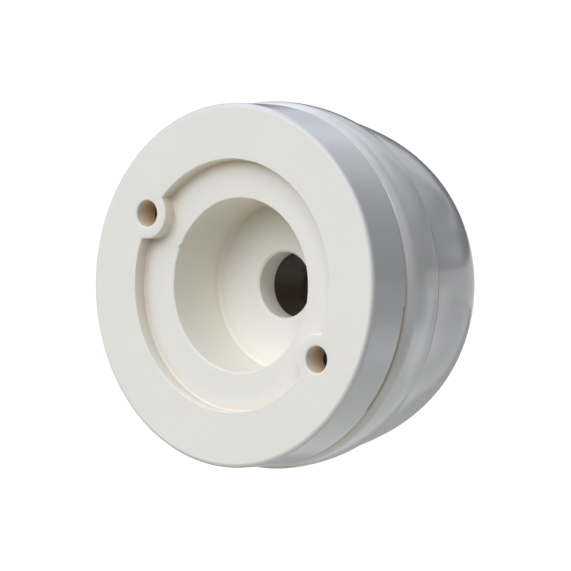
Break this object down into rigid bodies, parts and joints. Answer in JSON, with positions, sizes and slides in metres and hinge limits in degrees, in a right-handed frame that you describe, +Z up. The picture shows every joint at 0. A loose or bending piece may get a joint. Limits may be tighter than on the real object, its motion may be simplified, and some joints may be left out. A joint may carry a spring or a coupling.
{
  "type": "fence insulator",
  "caption": "Round bolt-on insulator for a fence: a flat cream base with a deep pocket, a rounded middle ring and a glossy white dome, held together by two long screws.",
  "frame": {"origin": "centre of the flat back face, where the bolt's axis meets the post", "axes": "+Y along the bolt's axis, out of the post towards the dome; +Z up; +X to the right as seen from behind"},
  "size_m": [0.061, 0.0394, 0.061],
  "materials": {
    "base_plastic": "satin cream moulding, fine grain on the back face",
    "gloss_plastic": "polished white moulding",
    "sleeve_steel": "dark phosphated steel",
    "screw_steel": "black oxide"
  },
  "bodies": {
    "root": {"rear_base": "base_plastic", "middle_ring": "gloss_plastic", "front_dome": "gloss_plastic", "centre_sleeve": "sleeve_steel", "assembly_screw_left": "screw_steel", "assembly_screw_right": "screw_steel"}
  },
  "joints": []
}
